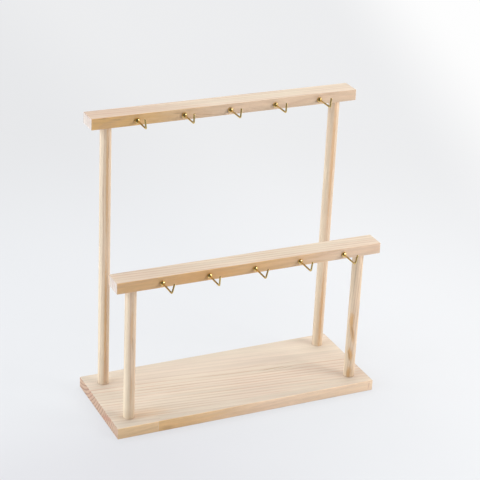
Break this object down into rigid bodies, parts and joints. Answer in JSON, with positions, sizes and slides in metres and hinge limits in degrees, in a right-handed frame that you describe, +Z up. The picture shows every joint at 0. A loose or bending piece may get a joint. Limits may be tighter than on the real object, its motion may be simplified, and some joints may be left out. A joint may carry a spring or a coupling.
{
  "type": "jewelry stand",
  "caption": "Two-tier open wooden stand: a flat base, round posts and two square-cut bars with screw hooks along their fronts for hanging necklaces and bracelets.",
  "frame": {"origin": "centre of the base's underside, on the surface that the stand rests on", "axes": "+X along the bars to the right as seen from the front, -Y to the front where the hooks point, +Z up along the posts"},
  "size_m": [0.32, 0.145, 0.3477],
  "materials": {
    "pine_base": "bare sanded pine",
    "pine_bar": "bare sanded pine",
    "pine_post": "bare sanded pine dowel",
    "brass": "bright brass plating",
    "zinc_screw": "zinc plated"
  },
  "bodies": {
    "stand": {"base_board": "pine_base", "base_edge_strip_left": "pine_base", "base_edge_strip_right": "pine_base", "post_back_left": "pine_post", "post_back_right": "pine_post", "post_front_left": "pine_post", "post_front_right": "pine_post", "upper_bar": "pine_bar", "lower_bar": "pine_bar", "base_screws": "zinc_screw"},
    "upper_hook_1": {"upper_hook_1": "brass", "upper_hook_collar_1": "brass"},
    "upper_hook_2": {"upper_hook_2": "brass", "upper_hook_collar_2": "brass"},
    "upper_hook_3": {"upper_hook_3": "brass", "upper_hook_collar_3": "brass"},
    "upper_hook_4": {"upper_hook_4": "brass", "upper_hook_collar_4": "brass"},
    "upper_hook_5": {"upper_hook_5": "brass", "upper_hook_collar_5": "brass"},
    "lower_hook_1": {"lower_hook_1": "brass", "lower_hook_collar_1": "brass"},
    "lower_hook_2": {"lower_hook_2": "brass", "lower_hook_collar_2": "brass"},
    "lower_hook_3": {"lower_hook_3": "brass", "lower_hook_collar_3": "brass"},
    "lower_hook_4": {"lower_hook_4": "brass", "lower_hook_collar_4": "brass"},
    "lower_hook_5": {"lower_hook_5": "brass", "lower_hook_collar_5": "brass"}
  },
  "joints": [
    {"name": "upper_hook_1_turn", "type": "hinge", "parent": "stand", "child": "upper_hook_1", "pos_m": [-0.1078, 0.0286, 0.33665], "axis": [0, 1, 0], "range_deg": [-81, 99]},
    {"name": "upper_hook_2_turn", "type": "hinge", "parent": "stand", "child": "upper_hook_2", "pos_m": [-0.05265, 0.0286, 0.33665], "axis": [0, 1, 0], "range_deg": [-90, 90]},
    {"name": "upper_hook_3_turn", "type": "hinge", "parent": "stand", "child": "upper_hook_3", "pos_m": [0.0025, 0.0286, 0.33665], "axis": [0, 1, 0], "range_deg": [-94, 86]},
    {"name": "upper_hook_4_turn", "type": "hinge", "parent": "stand", "child": "upper_hook_4", "pos_m": [0.05765, 0.0286, 0.33665], "axis": [0, 1, 0], "range_deg": [-91, 89]},
    {"name": "upper_hook_5_turn", "type": "hinge", "parent": "stand", "child": "upper_hook_5", "pos_m": [0.1128, 0.0286, 0.33665], "axis": [0, 1, 0], "range_deg": [-93, 87]},
    {"name": "lower_hook_1_turn", "type": "hinge", "parent": "stand", "child": "lower_hook_1", "pos_m": [-0.1078, -0.054, 0.17995], "axis": [0, 1, 0], "range_deg": [-105, 75]},
    {"name": "lower_hook_2_turn", "type": "hinge", "parent": "stand", "child": "lower_hook_2", "pos_m": [-0.05265, -0.054, 0.17995], "axis": [0, 1, 0], "range_deg": [-93, 87]},
    {"name": "lower_hook_3_turn", "type": "hinge", "parent": "stand", "child": "lower_hook_3", "pos_m": [0.0025, -0.054, 0.17995], "axis": [0, 1, 0], "range_deg": [-104, 76]},
    {"name": "lower_hook_4_turn", "type": "hinge", "parent": "stand", "child": "lower_hook_4", "pos_m": [0.05765, -0.054, 0.17995], "axis": [0, 1, 0], "range_deg": [-98, 82]},
    {"name": "lower_hook_5_turn", "type": "hinge", "parent": "stand", "child": "lower_hook_5", "pos_m": [0.1128, -0.054, 0.17995], "axis": [0, 1, 0], "range_deg": [-104, 76]}
  ]
}
